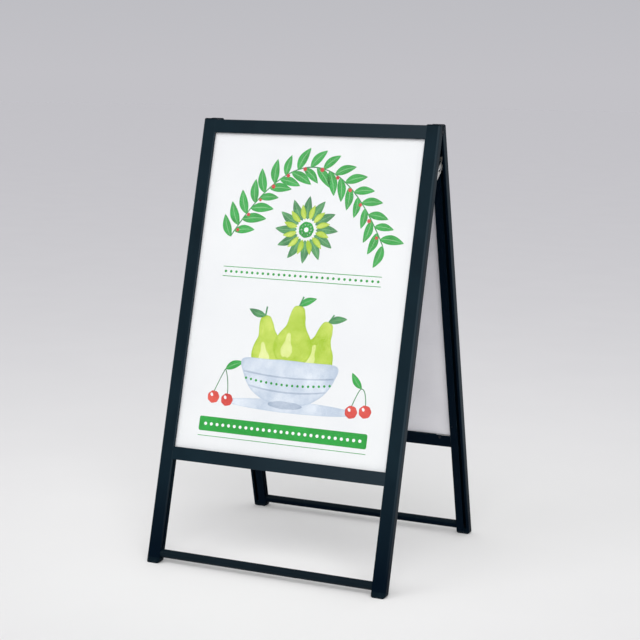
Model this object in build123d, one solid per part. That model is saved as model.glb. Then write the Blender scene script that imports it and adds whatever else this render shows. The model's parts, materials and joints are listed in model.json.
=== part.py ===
"""A-frame sandwich board: two aluminium poster frames hinged at the top, in millimetres.

+X is to the right seen from the front, +Y points to the back, +Z up. The origin is on the
floor, under the middle of the open board. Every piece of a frame is first drawn in the
frame's own axes: x across, y as depth behind its front face, z as height along its slope.
"""
import os
from math import atan2, cos, degrees, hypot, radians, sin

from build123d import *

# Poster and what covers and backs it
SHEET_WIDTH = 594.0
SHEET_HEIGHT = 841.0
COVER_THICKNESS = 2.0
POSTER_THICKNESS = 0.3
BOARD_THICKNESS = 5.0
SHEET_PLAY = 0.1
SHEET_GAP = 1.0

# Upright extrusion
STILE_FACE = 36.0
STILE_DEPTH = 24.0
STILE_FRONT_RADIUS = 6.0
STILE_INNER_RADIUS = 3.0
STILE_BACK_RADIUS = 2.5
WALL = 1.8
STILE_GROOVE_DEPTH = 14.0
BACK_SLOT_WIDTH = 8.0

# Front lip and rib that hold the sheets, the same in uprights and rails
LIP = 5.9
RIB = 1.7

# Rail extrusion
RAIL_FACE = 32.5
RAIL_DEPTH = 20.0
RAIL_RADIUS = 1.2
RAIL_GROOVE_DEPTH = 20.75
MID_RAIL_HEIGHT = 260.5
COPE_GAP = 0.1

# How far a cutting body runs past the faces it cuts
PAST = 1.0

# Feet
FOOT_HEIGHT = 14.0
FOOT_CORNER_RADIUS = 7.0
FOOT_PLUG_DEPTH = 7.0
PLUG_PLAY = 0.15
SEAM_CHAMFER = 0.5

# Rung
RUNG_HEIGHT = 26.5
RUNG_RADIUS = 10.5
RUNG_WALL = 1.5
RUNG_PLUG_LENGTH = 25.0
RUNG_SCREW_RADIUS = 3.0
RUNG_SCREW_HEAD_RADIUS = 5.0
RUNG_SCREW_HEAD = 3.6
RUNG_SCREW_CHAMFER = 1.2
RUNG_SCREW_LENGTH = 20.0

# Fold and hinge
LEAN = 15.0
FOLD_GAP = 1.5
HINGE_DROP = 9.0
KNUCKLE_RADIUS = 9.0
KNUCKLE_PLAY = 0.3
RELIEF = 0.4
NOTCH_GAP = 0.5
CENTRE_KNUCKLE_WIDTH = 11.0
STOP_GAP = 0.3
HINGE_PIN_RADIUS = 2.5
HINGE_PIN_HEAD_RADIUS = 4.0
HINGE_PIN_HEAD = 1.5
RUNNING_PLAY = 0.05

# Top caps
CAP_HEAD = 4.0
CAP_CHAMFER = 2.2
CAP_PLUG_DEPTH = 30.0
CAP_SCREW_DROP = 6.0
CAP_SCREW_LENGTH = 8.0
CAP_SCREW_HEAD_RADIUS = 2.8
CAP_SCREW_HEAD = 1.0
SCREW_TIP_GAP = 1.0

# Folding stays
STAY_PIVOT_DROP = 142.0
STAY_PIN_DROP = 80.0
STAY_PIN_INSET = 6.25
STAY_THICKNESS = 2.0
STAY_PIVOT_END = 8.0
STAY_SLOT_END = 6.0
STAY_HOLE_RADIUS = 3.0
STAY_HOLE_DISTANCES = (18.0, 32.0, 46.0)
STAY_PIN_RADIUS = 2.0
SLOT_PLAY = 0.6
SLOT_STEPS = 8
SIDE_PLAY = 0.3
SPACER_RADIUS = 4.0
BRACKET_SHEET = 1.5
BRACKET_HALF_LENGTH = 11.0
BRACKET_BEND = 4.1
BRACKET_EDGE = 0.3
RIVET_DROP = 7.5
RIVET_RADIUS = 1.6
RIVET_HEAD_RADIUS = 2.8
RIVET_HEAD = 1.0

# Corner brackets and the small screws
CORNER_LEG = 40.0
CORNER_WIDTH = 11.4
CORNER_THICKNESS = 3.0
CORNER_PLAY = 0.3
SMALL_SCREW_RADIUS = 2.0
SMALL_HEAD_RADIUS = 3.4
SMALL_HEAD = 1.6
SMALL_HEAD_ROUND = 0.8
SCREW_PLAY = 0.05
SCREW_OFFSET = 30.0
SCREW_FLUSH = 0.2

# Across the board, measured from its middle
HALF_WIDTH = SHEET_WIDTH / 2 + STILE_FACE - STILE_GROOVE_DEPTH + SHEET_GAP
STILE_INSIDE = HALF_WIDTH - STILE_FACE
WEB_OUTSIDE = STILE_INSIDE + STILE_GROOVE_DEPTH
WEB_INSIDE = WEB_OUTSIDE + WALL
CHAMBER_OUTSIDE = HALF_WIDTH - WALL
CHAMBER_MIDDLE = (WEB_INSIDE + CHAMBER_OUTSIDE) / 2
SET_SCREW_X = (STILE_INSIDE + WEB_OUTSIDE) / 2
RAIL_SCREW_X = STILE_INSIDE - SCREW_OFFSET

# Across a hinge: the front frame's knuckle in the centre, the rear frame's on both sides of it
KNUCKLE_SPLIT = (STILE_FACE - CENTRE_KNUCKLE_WIDTH) / 2
CENTRE_SPAN = (STILE_INSIDE + KNUCKLE_SPLIT, HALF_WIDTH - KNUCKLE_SPLIT)
OUTER_SPANS = ((STILE_INSIDE, CENTRE_SPAN[0] - KNUCKLE_PLAY),
               (CENTRE_SPAN[1] + KNUCKLE_PLAY, HALF_WIDTH))

# Behind the front face
COVER_FRONT = LIP + SHEET_PLAY
POSTER_FRONT = COVER_FRONT + COVER_THICKNESS
BOARD_FRONT = POSTER_FRONT + POSTER_THICKNESS
GROOVE_BACK = BOARD_FRONT + BOARD_THICKNESS + SHEET_PLAY
RIB_BACK = GROOVE_BACK + RIB
STILE_BACK_LIP = STILE_DEPTH - WALL
RAIL_BACK_LIP = RAIL_DEPTH - WALL
STILE_MIDDLE = STILE_DEPTH / 2
HINGE_DEPTH = STILE_DEPTH + FOLD_GAP / 2
STAY_PIN_DEPTH = STILE_DEPTH - STAY_PIN_INSET
CAP_SCREW_DEPTH = (LIP + GROOVE_BACK) / 2
RIVET_DEPTH = (RIB_BACK + STILE_BACK_LIP) / 2

# Up the slope
OPENING_BOTTOM = MID_RAIL_HEIGHT + RAIL_FACE
END_GRIP = RAIL_GROOVE_DEPTH - SHEET_GAP
SHEET_BOTTOM = OPENING_BOTTOM - END_GRIP
OPENING_TOP = SHEET_BOTTOM + SHEET_HEIGHT - END_GRIP
STILE_TOP = OPENING_TOP + RAIL_FACE
HINGE_HEIGHT = STILE_TOP - HINGE_DROP
STAY_PIVOT_HEIGHT = HINGE_HEIGHT - STAY_PIVOT_DROP
STAY_PIN_HEIGHT = HINGE_HEIGHT - STAY_PIN_DROP
CAP_SCREW_HEIGHT = STILE_TOP - CAP_SCREW_DROP
SET_SCREW_HEIGHTS = (OPENING_BOTTOM + SCREW_OFFSET, OPENING_TOP - SCREW_OFFSET)
RAIL_SCREW_HEIGHTS = (OPENING_BOTTOM - CORNER_WIDTH / 2, OPENING_TOP + CORNER_WIDTH / 2)

# Hinge axis above the floor, with the front lower edge of each foot on the floor
HINGE_Z = HINGE_HEIGHT * cos(radians(LEAN)) - HINGE_DEPTH * sin(radians(LEAN))
FRONT_PLACE = Pos(0, 0, HINGE_Z) * Rot(-LEAN, 0, 0) * Pos(0, -HINGE_DEPTH, -HINGE_HEIGHT)
REAR_PLACE = Rot(0, 0, 180) * FRONT_PLACE


def box(x0, x1, y0, y1, z0, z1):
    return Pos((x0 + x1) / 2, (y0 + y1) / 2, (z0 + z1) / 2) * Box(x1 - x0, y1 - y0, z1 - z0)


def bar_x(radius, x0, x1, y, z):
    return Pos((x0 + x1) / 2, y, z) * Rot(0, 90, 0) * Cylinder(radius, x1 - x0)


def bar_y(radius, y0, y1, x, z):
    return Pos(x, (y0 + y1) / 2, z) * Rot(90, 0, 0) * Cylinder(radius, y1 - y0)


def rectangle(x0, x1, y0, y1):
    return Pos((x0 + x1) / 2, (y0 + y1) / 2) * Rectangle(x1 - x0, y1 - y0)


def on_side(piece, side):
    """A piece drawn on the right (+x) of its frame, or its mirror image on the left."""
    return piece if side > 0 else mirror(piece, about=Plane.YZ)


def both_sides(piece):
    return [piece, on_side(piece, -1)]


# ---------------------------------------------------------------- extrusions

def stile_outline():
    outline = rectangle(STILE_INSIDE, HALF_WIDTH, 0, STILE_DEPTH)
    outline = fillet(outline.vertices().group_by(Axis.Y)[-1], STILE_BACK_RADIUS)
    outer = outline.vertices().group_by(Axis.Y)[0].sort_by(Axis.X)[-1]
    outline = fillet(outer, STILE_FRONT_RADIUS)
    inner = outline.vertices().group_by(Axis.Y)[0].sort_by(Axis.X)[0]
    return fillet(inner, STILE_INNER_RADIUS)


def chamber_outline():
    """Inside of the upright's hollow, rounded with the wall behind the front outer corner."""
    chamber = rectangle(WEB_INSIDE, CHAMBER_OUTSIDE, WALL, STILE_BACK_LIP)
    corner = chamber.vertices().sort_by(lambda v: v.X - v.Y)[-1]
    return fillet(corner, STILE_FRONT_RADIUS - WALL)


def hinge_notch():
    """Room at an upright's upper back corner for the knuckles of both frames."""
    radius = KNUCKLE_RADIUS + NOTCH_GAP
    x0 = STILE_INSIDE - PAST
    x1 = HALF_WIDTH + PAST
    notch = bar_x(radius, x0, x1, HINGE_DEPTH, HINGE_HEIGHT)
    return notch + box(x0, x1, HINGE_DEPTH - radius, STILE_DEPTH + PAST,
                       HINGE_HEIGHT, STILE_TOP + PAST)


def stile(stay_height):
    """Upright: a hollow with a slot at its back, and two grooves facing the poster."""
    section = stile_outline() - chamber_outline()
    half_slot = BACK_SLOT_WIDTH / 2
    section -= rectangle(CHAMBER_MIDDLE - half_slot, CHAMBER_MIDDLE + half_slot,
                         STILE_BACK_LIP - PAST, STILE_DEPTH + PAST)
    section -= rectangle(STILE_INSIDE - PAST, WEB_OUTSIDE, LIP, GROOVE_BACK)
    section -= rectangle(STILE_INSIDE - PAST, WEB_OUTSIDE, RIB_BACK, STILE_BACK_LIP)
    solid = Pos(0, 0, FOOT_HEIGHT) * extrude(section, STILE_TOP - FOOT_HEIGHT)
    solid -= hinge_notch()
    solid -= bar_x(RUNG_RADIUS + COPE_GAP, STILE_INSIDE - PAST, WEB_OUTSIDE, STILE_MIDDLE, RUNG_HEIGHT)
    solid -= bar_x(RUNG_SCREW_RADIUS + SCREW_PLAY, WEB_OUTSIDE - PAST, WEB_INSIDE + PAST,
                   STILE_MIDDLE, RUNG_HEIGHT)
    solid -= bar_x(SMALL_SCREW_RADIUS + SCREW_PLAY, WEB_OUTSIDE - PAST, WEB_INSIDE + PAST,
                   CAP_SCREW_DEPTH, CAP_SCREW_HEIGHT)
    solid -= bar_x(RIVET_RADIUS + SCREW_PLAY, WEB_OUTSIDE - PAST, WEB_INSIDE + PAST,
                   RIVET_DEPTH, stay_height - RIVET_DROP)
    for height in SET_SCREW_HEIGHTS:
        solid -= bar_y(SMALL_SCREW_RADIUS + SCREW_PLAY, STILE_BACK_LIP - PAST, STILE_DEPTH + PAST,
                       SET_SCREW_X, height)
    return solid


def rail_along_bottom():
    """Rail with its grooves upwards and its groove edge at height 0."""
    section = rectangle(0, RAIL_DEPTH, -RAIL_FACE, 0)
    section = fillet(section.vertices(), RAIL_RADIUS)
    section -= rectangle(LIP, GROOVE_BACK, -RAIL_GROOVE_DEPTH, PAST)
    section -= rectangle(RIB_BACK, RAIL_BACK_LIP, -RAIL_GROOVE_DEPTH, PAST)
    section -= rectangle(WALL, RAIL_BACK_LIP, WALL - RAIL_FACE, -RAIL_GROOVE_DEPTH - WALL)
    solid = extrude(Plane.YZ * section, STILE_INSIDE + STILE_FRONT_RADIUS, both=True)
    screw_height = -CORNER_WIDTH / 2
    for x in (-RAIL_SCREW_X, RAIL_SCREW_X):
        solid -= bar_y(SMALL_SCREW_RADIUS + SCREW_PLAY, RAIL_BACK_LIP - PAST, RAIL_DEPTH + PAST,
                       x, screw_height)
    return solid


def coped(rail, z0, z1):
    """Ends of a rail cut to fit against the rounded uprights."""
    grown = offset(stile_outline(), COPE_GAP)
    post = Pos(0, 0, z0 - PAST) * extrude(grown, z1 - z0 + 2 * PAST)
    for cutter in both_sides(post):
        rail -= cutter
    return rail


def mid_rail():
    rail = Pos(0, 0, OPENING_BOTTOM) * rail_along_bottom()
    return coped(rail, MID_RAIL_HEIGHT, OPENING_BOTTOM)


def top_rail():
    rail = Pos(0, 0, OPENING_TOP) * mirror(rail_along_bottom(), about=Plane.XY)
    return coped(rail, OPENING_TOP, STILE_TOP)


# ---------------------------------------------------------------- sheets

def sheet(front, thickness):
    half = SHEET_WIDTH / 2
    return box(-half, half, front, front + thickness, SHEET_BOTTOM, SHEET_BOTTOM + SHEET_HEIGHT)


# ---------------------------------------------------------------- feet and rung

def below_sole():
    """All that lies under a level sole with two rounded corners, as the board stands open."""
    reach = HINGE_Z
    radius = FOOT_CORNER_RADIUS
    under = box(STILE_INSIDE - PAST, HALF_WIDTH + PAST, -reach, reach, -reach, 0)
    for edge, inward in ((STILE_INSIDE, 1), (HALF_WIDTH, -1)):
        x0, x1 = sorted((edge - PAST * inward, edge + radius * inward))
        corner = box(x0, x1, -reach, reach, -PAST, radius)
        under += corner - bar_y(radius, -reach - PAST, reach + PAST, edge + radius * inward, radius)
    return under


def foot():
    """Cap over an upright's lower end, with a short plug in its hollow."""
    solid = extrude(stile_outline(), FOOT_HEIGHT)
    solid = chamfer(solid.faces().sort_by(Axis.Z)[-1].edges(), SEAM_CHAMFER)
    solid -= FRONT_PLACE.inverse() * below_sole()
    plug = extrude(offset(chamber_outline(), -PLUG_PLAY), SEAM_CHAMFER + FOOT_PLUG_DEPTH)
    return solid + Pos(0, 0, FOOT_HEIGHT - SEAM_CHAMFER) * plug


def rung():
    half = WEB_OUTSIDE - COPE_GAP
    tube = bar_x(RUNG_RADIUS, -half, half, STILE_MIDDLE, RUNG_HEIGHT)
    return tube - bar_x(RUNG_RADIUS - RUNG_WALL, -half - PAST, half + PAST, STILE_MIDDLE, RUNG_HEIGHT)


def rung_plugs():
    end = WEB_OUTSIDE - COPE_GAP
    plug = bar_x(RUNG_RADIUS - RUNG_WALL - SCREW_PLAY, end - RUNG_PLUG_LENGTH, end,
                 STILE_MIDDLE, RUNG_HEIGHT)
    plug -= bar_x(RUNG_SCREW_RADIUS + SCREW_PLAY, end - RUNG_PLUG_LENGTH - PAST, end + PAST,
                  STILE_MIDDLE, RUNG_HEIGHT)
    return both_sides(plug)


def rung_screws():
    head = bar_x(RUNG_SCREW_HEAD_RADIUS, WEB_INSIDE, WEB_INSIDE + RUNG_SCREW_HEAD,
                 STILE_MIDDLE, RUNG_HEIGHT)
    head = chamfer(head.faces().sort_by(Axis.X)[-1].edges(), RUNG_SCREW_CHAMFER)
    shank = bar_x(RUNG_SCREW_RADIUS, WEB_INSIDE - RUNG_SCREW_LENGTH, WEB_INSIDE,
                  STILE_MIDDLE, RUNG_HEIGHT)
    return both_sides(head + shank)


# ---------------------------------------------------------------- corner brackets and screws

def corner_bracket(edge, upward):
    """Flat L in the rear grooves of a rail and an upright, edge is the opening's edge."""
    y0 = RIB_BACK
    y1 = RIB_BACK + CORNER_THICKNESS
    along = (edge + CORNER_PLAY * upward, edge + (CORNER_PLAY + CORNER_WIDTH) * upward)
    reach = (edge - CORNER_LEG * upward, along[1])
    x0 = STILE_INSIDE + CORNER_PLAY
    x1 = x0 + CORNER_WIDTH
    leg = box(x0, x1, y0, y1, min(reach), max(reach))
    arm = box(STILE_INSIDE - CORNER_LEG, x1, y0, y1, min(along), max(along))
    plate = leg + arm
    return plate - bar_y(SMALL_SCREW_RADIUS + SCREW_PLAY, y0 - PAST, y1 + PAST,
                         RAIL_SCREW_X, edge + CORNER_WIDTH / 2 * upward)


def corner_brackets():
    pieces = []
    for edge, upward in ((OPENING_BOTTOM, -1), (OPENING_TOP, 1)):
        pieces += both_sides(corner_bracket(edge, upward))
    return pieces


def set_screws():
    """Headless screws through the uprights' back lips onto the corner brackets."""
    pieces = []
    for height in SET_SCREW_HEIGHTS:
        pieces += both_sides(bar_y(SMALL_SCREW_RADIUS, RIB_BACK + CORNER_THICKNESS,
                                   STILE_DEPTH - SCREW_FLUSH, SET_SCREW_X, height))
    return pieces


def rail_screws():
    """Pan-head screws through the rails' back lips into the corner brackets."""
    pieces = []
    for height in RAIL_SCREW_HEIGHTS:
        head = bar_y(SMALL_HEAD_RADIUS, RAIL_DEPTH, RAIL_DEPTH + SMALL_HEAD, RAIL_SCREW_X, height)
        head = fillet(head.faces().sort_by(Axis.Y)[-1].edges(), SMALL_HEAD_ROUND)
        shank = bar_y(SMALL_SCREW_RADIUS, RIB_BACK, RAIL_DEPTH, RAIL_SCREW_X, height)
        pieces += both_sides(head + shank)
    return pieces


# ---------------------------------------------------------------- top caps and hinge

def knuckle(span, radius):
    return bar_x(radius, span[0], span[1], HINGE_DEPTH, HINGE_HEIGHT)


def hinge_cap(own_spans, other_spans):
    """Cap on an upright's top: head, plug in the hollow, and this frame's knuckles."""
    head = Pos(0, 0, STILE_TOP) * extrude(stile_outline(), CAP_HEAD)
    head = chamfer(head.faces().sort_by(Axis.Z)[-1].edges(), CAP_CHAMFER)
    filler = Pos(0, 0, HINGE_HEIGHT) * extrude(stile_outline(), HINGE_DROP)
    filler &= box(STILE_INSIDE - PAST, HALF_WIDTH + PAST, HINGE_DEPTH - KNUCKLE_RADIUS, STILE_DEPTH,
                  HINGE_HEIGHT, STILE_TOP)
    plug = offset(chamber_outline(), -PLUG_PLAY)
    plug = Pos(0, 0, STILE_TOP - CAP_PLUG_DEPTH) * extrude(plug, CAP_PLUG_DEPTH)
    body = head + filler + plug
    # Cut along the upright plane where the two frames' caps meet when the board is open
    beyond = box(STILE_INSIDE - PAST, HALF_WIDTH + PAST, -STOP_GAP, HINGE_Z, 0, 2 * HINGE_Z)
    body -= FRONT_PLACE.inverse() * beyond
    # The other frame's knuckles turn here, and their room opens the plug's back as well
    for span in own_spans:
        body += knuckle(span, KNUCKLE_RADIUS)
    for span in other_spans:
        wide = (span[0] - KNUCKLE_PLAY, span[1] + KNUCKLE_PLAY)
        body -= knuckle(wide, KNUCKLE_RADIUS + RELIEF)
    body -= knuckle((STILE_INSIDE - PAST, HALF_WIDTH + PAST), HINGE_PIN_RADIUS + RUNNING_PLAY)
    return body - bar_x(SMALL_SCREW_RADIUS + SCREW_PLAY, WEB_INSIDE - PAST,
                        WEB_INSIDE + CAP_SCREW_LENGTH + SCREW_TIP_GAP,
                        CAP_SCREW_DEPTH, CAP_SCREW_HEIGHT)


def front_cap():
    return hinge_cap((CENTRE_SPAN,), OUTER_SPANS)


def rear_cap():
    cap = hinge_cap(OUTER_SPANS, (CENTRE_SPAN,))
    return cap - bar_x(HINGE_PIN_HEAD_RADIUS + RUNNING_PLAY, HALF_WIDTH - HINGE_PIN_HEAD - SCREW_FLUSH,
                       HALF_WIDTH + PAST, HINGE_DEPTH, HINGE_HEIGHT)


def hinge_pin():
    end = HALF_WIDTH - SCREW_FLUSH
    pin = bar_x(HINGE_PIN_RADIUS, STILE_INSIDE + SCREW_FLUSH, end, HINGE_DEPTH, HINGE_HEIGHT)
    return pin + bar_x(HINGE_PIN_HEAD_RADIUS, end - HINGE_PIN_HEAD, end, HINGE_DEPTH, HINGE_HEIGHT)


def cap_screws():
    screw = bar_x(SMALL_SCREW_RADIUS, WEB_OUTSIDE, WEB_INSIDE + CAP_SCREW_LENGTH,
                  CAP_SCREW_DEPTH, CAP_SCREW_HEIGHT)
    head = bar_x(CAP_SCREW_HEAD_RADIUS, WEB_OUTSIDE - CAP_SCREW_HEAD, WEB_OUTSIDE,
                 CAP_SCREW_DEPTH, CAP_SCREW_HEIGHT)
    return both_sides(screw + head)


# ---------------------------------------------------------------- folding stays

def turned(point, angle):
    """A point turned about the hinge, seen from the right: y to the back, z up."""
    y, z = point
    return (y * cos(radians(angle)) - z * sin(radians(angle)),
            y * sin(radians(angle)) + z * cos(radians(angle)))


def pin_from_pivot(angle):
    """Distance and direction from the stay's pivot to the rear pin at a fold angle."""
    inset = HINGE_DEPTH - STAY_PIN_DEPTH
    y, z = turned((inset, -STAY_PIN_DROP), angle)
    y += inset
    z += STAY_PIVOT_DROP
    return hypot(y, z), degrees(atan2(y, z))


OPEN_ANGLE = 2 * LEAN
CLOSED_DIRECTION = pin_from_pivot(0)[1]
OPEN_DIRECTION = pin_from_pivot(OPEN_ANGLE)[1]


def pin_in_stay(angle):
    """Where the rear pin stands in the stay, which turns evenly with the fold."""
    distance, direction = pin_from_pivot(angle)
    stay_turn = CLOSED_DIRECTION + (OPEN_DIRECTION - CLOSED_DIRECTION) * angle / OPEN_ANGLE
    off = radians(direction - stay_turn)
    return (distance * sin(off), distance * cos(off))


def stay():
    """Flat steel stay, pivoted in the front upright, with a curved slot for the rear pin."""
    path = [pin_in_stay(OPEN_ANGLE * step / SLOT_STEPS) for step in range(SLOT_STEPS + 1)]
    rims = Circle(STAY_PIVOT_END).edges()
    for centre in (path[0], path[SLOT_STEPS // 2], path[-1]):
        rims += (Pos(*centre) * Circle(STAY_SLOT_END)).edges()
    outline = make_hull(rims)
    outline -= Circle(STAY_PIN_RADIUS + RUNNING_PLAY)
    for distance in STAY_HOLE_DISTANCES:
        outline -= Pos(0, distance) * Circle(STAY_HOLE_RADIUS)
    for start in range(0, SLOT_STEPS, SLOT_STEPS // 2):
        bend = ThreePointArc(path[start], path[start + SLOT_STEPS // 4],
                             path[start + SLOT_STEPS // 2])
        outline -= SlotArc(bend, 2 * (STAY_PIN_RADIUS + SLOT_PLAY))
    plate = extrude(Plane.YZ * outline, STAY_THICKNESS / 2, both=True)
    return (Pos(CHAMBER_MIDDLE, STAY_PIN_DEPTH, STAY_PIVOT_HEIGHT)
            * Rot(-OPEN_DIRECTION, 0, 0) * plate)


def stay_bracket(height):
    """Bent steel channel inside the hollow, its two ears hold the pin."""
    x0 = WEB_INSIDE + PLUG_PLAY
    x1 = CHAMBER_OUTSIDE - PLUG_PLAY
    y0 = WALL + PLUG_PLAY
    y1 = STILE_BACK_LIP - BRACKET_EDGE
    outer = rectangle(x0, x1, y0, y1)
    outer = fillet(outer.vertices().group_by(Axis.Y)[0], BRACKET_BEND)
    inner = rectangle(x0 + BRACKET_SHEET, x1 - BRACKET_SHEET, y0 + BRACKET_SHEET, y1 + PAST)
    inner = fillet(inner.vertices().group_by(Axis.Y)[0], BRACKET_BEND - BRACKET_SHEET)
    solid = Pos(0, 0, height - BRACKET_HALF_LENGTH) * extrude(outer - inner, 2 * BRACKET_HALF_LENGTH)
    solid -= bar_x(STAY_PIN_RADIUS + RUNNING_PLAY, x0 - PAST, x1 + PAST, STAY_PIN_DEPTH, height)
    return solid - bar_x(RIVET_RADIUS + SCREW_PLAY, x0 - PAST, x0 + BRACKET_SHEET + PAST,
                         RIVET_DEPTH, height - RIVET_DROP)


def stay_pin(height):
    return bar_x(STAY_PIN_RADIUS, WEB_INSIDE + PLUG_PLAY, CHAMBER_OUTSIDE - PLUG_PLAY,
                 STAY_PIN_DEPTH, height)


def stay_spacers(height):
    """Sleeves on a stay pin that keep the stay in the middle of the hollow."""
    half_stay = STAY_THICKNESS / 2 + SIDE_PLAY
    spans = ((WEB_INSIDE + PLUG_PLAY + BRACKET_SHEET, CHAMBER_MIDDLE - half_stay),
             (CHAMBER_MIDDLE + half_stay, CHAMBER_OUTSIDE - PLUG_PLAY - BRACKET_SHEET))
    pieces = []
    for x0, x1 in spans:
        sleeve = bar_x(SPACER_RADIUS, x0, x1, STAY_PIN_DEPTH, height)
        sleeve -= bar_x(STAY_PIN_RADIUS + RUNNING_PLAY, x0 - PAST, x1 + PAST, STAY_PIN_DEPTH, height)
        pieces += both_sides(sleeve)
    return pieces


def stay_rivet(height):
    """Rivet that holds a stay bracket to the upright's web, its head in the rear groove."""
    z = height - RIVET_DROP
    inside = WEB_INSIDE + PLUG_PLAY + BRACKET_SHEET
    rivet = bar_x(RIVET_RADIUS, WEB_OUTSIDE, inside, RIVET_DEPTH, z)
    rivet += bar_x(RIVET_HEAD_RADIUS, WEB_OUTSIDE - RIVET_HEAD, WEB_OUTSIDE, RIVET_DEPTH, z)
    return rivet + bar_x(RIVET_HEAD_RADIUS, inside, inside + RIVET_HEAD, RIVET_DEPTH, z)


# ---------------------------------------------------------------- the whole board

def frame_pieces(stay_height, cap):
    """Every piece of one frame, by name, in the frame's own axes."""
    pieces = {
        "top_rail": [top_rail()],
        "mid_rail": [mid_rail()],
        "cover_sheet": [sheet(COVER_FRONT, COVER_THICKNESS)],
        "poster": [sheet(POSTER_FRONT, POSTER_THICKNESS)],
        "backing_board": [sheet(BOARD_FRONT, BOARD_THICKNESS)],
        "rung": [rung()],
        "rung_plugs": rung_plugs(),
        "rung_screws": rung_screws(),
        "corner_brackets": corner_brackets(),
        "corner_set_screws": set_screws(),
        "rail_screws": rail_screws(),
        "cap_screws": cap_screws(),
        "stay_brackets": both_sides(stay_bracket(stay_height)),
        "stay_pins": both_sides(stay_pin(stay_height)),
        "stay_spacers": stay_spacers(stay_height),
        "stay_rivets": both_sides(stay_rivet(stay_height)),
    }
    for side_name, side in (("left", -1), ("right", 1)):
        pieces[f"stile_{side_name}"] = [on_side(stile(stay_height), side)]
        pieces[f"foot_{side_name}"] = [on_side(foot(), side)]
        pieces[f"hinge_cap_{side_name}"] = [on_side(cap(), side)]
    return pieces


def write(name, solids, place):
    placed = [place * solid for solid in solids]
    part = placed[0] if len(placed) == 1 else Compound(children=placed)
    part.label = name
    export_step(part, f"parts/{name}.step")


def main():
    os.makedirs("parts", exist_ok=True)
    for name, solids in frame_pieces(STAY_PIVOT_HEIGHT, front_cap).items():
        write(f"front_{name}", solids, FRONT_PLACE)
    # The rear frame faces the other way, so its own left is the board's right
    other = {"left": "right", "right": "left"}
    for name, solids in frame_pieces(STAY_PIN_HEIGHT, rear_cap).items():
        stem, _, last = name.rpartition("_")
        board_name = f"{stem}_{other[last]}" if last in other else name
        write(f"rear_{board_name}", solids, REAR_PLACE)
    for side_name, side in (("left", -1), ("right", 1)):
        write(f"hinge_pin_{side_name}", [on_side(hinge_pin(), side)], FRONT_PLACE)
        write(f"stay_{side_name}", [on_side(stay(), side)], FRONT_PLACE)


main()
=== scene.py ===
# %% [markdown]
# # A folding sandwich board
# Two aluminium poster frames lean against each other like a letter A. They are hinged at the top
# and a slotted steel stay inside each pair of uprights stops them from sliding apart. The solid
# model already has every piece at its real size, so this lesson is about what Blender adds:
# finishes that look like the real metals and plastics, a printed poster, screw heads, light.

import json
import math

import bmesh
import bpy
from mathutils import Matrix, Vector


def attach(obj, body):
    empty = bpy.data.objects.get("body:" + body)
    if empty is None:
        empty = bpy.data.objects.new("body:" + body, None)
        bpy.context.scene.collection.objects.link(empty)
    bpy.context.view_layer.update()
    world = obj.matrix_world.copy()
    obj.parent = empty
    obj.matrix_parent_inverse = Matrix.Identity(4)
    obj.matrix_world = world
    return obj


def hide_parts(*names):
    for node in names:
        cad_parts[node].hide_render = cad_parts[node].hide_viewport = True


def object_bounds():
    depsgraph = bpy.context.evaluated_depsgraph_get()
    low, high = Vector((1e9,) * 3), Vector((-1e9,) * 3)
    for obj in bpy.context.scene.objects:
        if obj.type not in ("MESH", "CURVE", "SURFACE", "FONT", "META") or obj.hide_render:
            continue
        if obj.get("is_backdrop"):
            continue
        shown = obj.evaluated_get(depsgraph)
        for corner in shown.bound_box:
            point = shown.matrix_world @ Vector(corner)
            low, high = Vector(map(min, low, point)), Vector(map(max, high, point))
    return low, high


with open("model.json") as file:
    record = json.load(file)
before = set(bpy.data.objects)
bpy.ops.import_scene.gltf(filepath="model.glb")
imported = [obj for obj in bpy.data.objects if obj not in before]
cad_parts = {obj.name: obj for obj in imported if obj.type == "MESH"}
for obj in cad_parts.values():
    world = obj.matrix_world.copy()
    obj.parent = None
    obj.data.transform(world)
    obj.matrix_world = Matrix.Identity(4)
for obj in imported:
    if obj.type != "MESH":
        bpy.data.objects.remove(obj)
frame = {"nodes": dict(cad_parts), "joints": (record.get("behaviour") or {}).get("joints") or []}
cad_low, cad_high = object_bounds()
print("board, width depth height:", [round(side, 3) for side in cad_high - cad_low])

# %% [markdown]
# ## Each frame's own axes
# Both frames lean, and it is awkward to place things on a leaning plane in upright coordinates.
# So each frame gets a matrix from its own axes: x across, y as depth behind its front face, and
# z up its slope. The fold stops when both frames meet, so half of its travel is one frame's lean.
# Two more helpers save typing later: one links a new object, one turns a bmesh into a mesh.

# %% Matrices of the two leaning frames
MM = 0.001

fold = next(joint for joint in frame["joints"] if joint["name"] == "fold")
LEAN = math.radians(fold["range_deg"][1]) / 2
FRONT = Matrix.Translation((0, cad_low.y, 0)) @ Matrix.Rotation(-LEAN, 4, "X")
REAR = Matrix.Rotation(math.pi, 4, "Z") @ FRONT
PLACES = {"front": FRONT, "rear": REAR}
BODIES = {"front": "front_frame", "rear": "rear_frame"}


def own_points(side, node):
    """A node's points in its frame's own leaning axes."""
    back = PLACES[side].inverted()
    return [back @ vertex.co for vertex in frame["nodes"][node].data.vertices]


def box_round(points):
    """Lowest and highest corner of the box round some points."""
    low = Vector([min(point[axis] for point in points) for axis in range(3)])
    high = Vector([max(point[axis] for point in points) for axis in range(3)])
    return low, high


def in_scene(name, data):
    """A new object of this mesh, curve, camera or lamp, linked into the scene."""
    made = bpy.data.objects.new(name, data)
    bpy.context.scene.collection.objects.link(made)
    return made


def as_mesh(name, shape):
    """Turns a bmesh into a mesh and frees it."""
    mesh = bpy.data.meshes.new(name)
    shape.to_mesh(mesh)
    shape.free()
    return mesh


print("lean of each frame:", round(math.degrees(LEAN), 2), "degrees")

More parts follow.
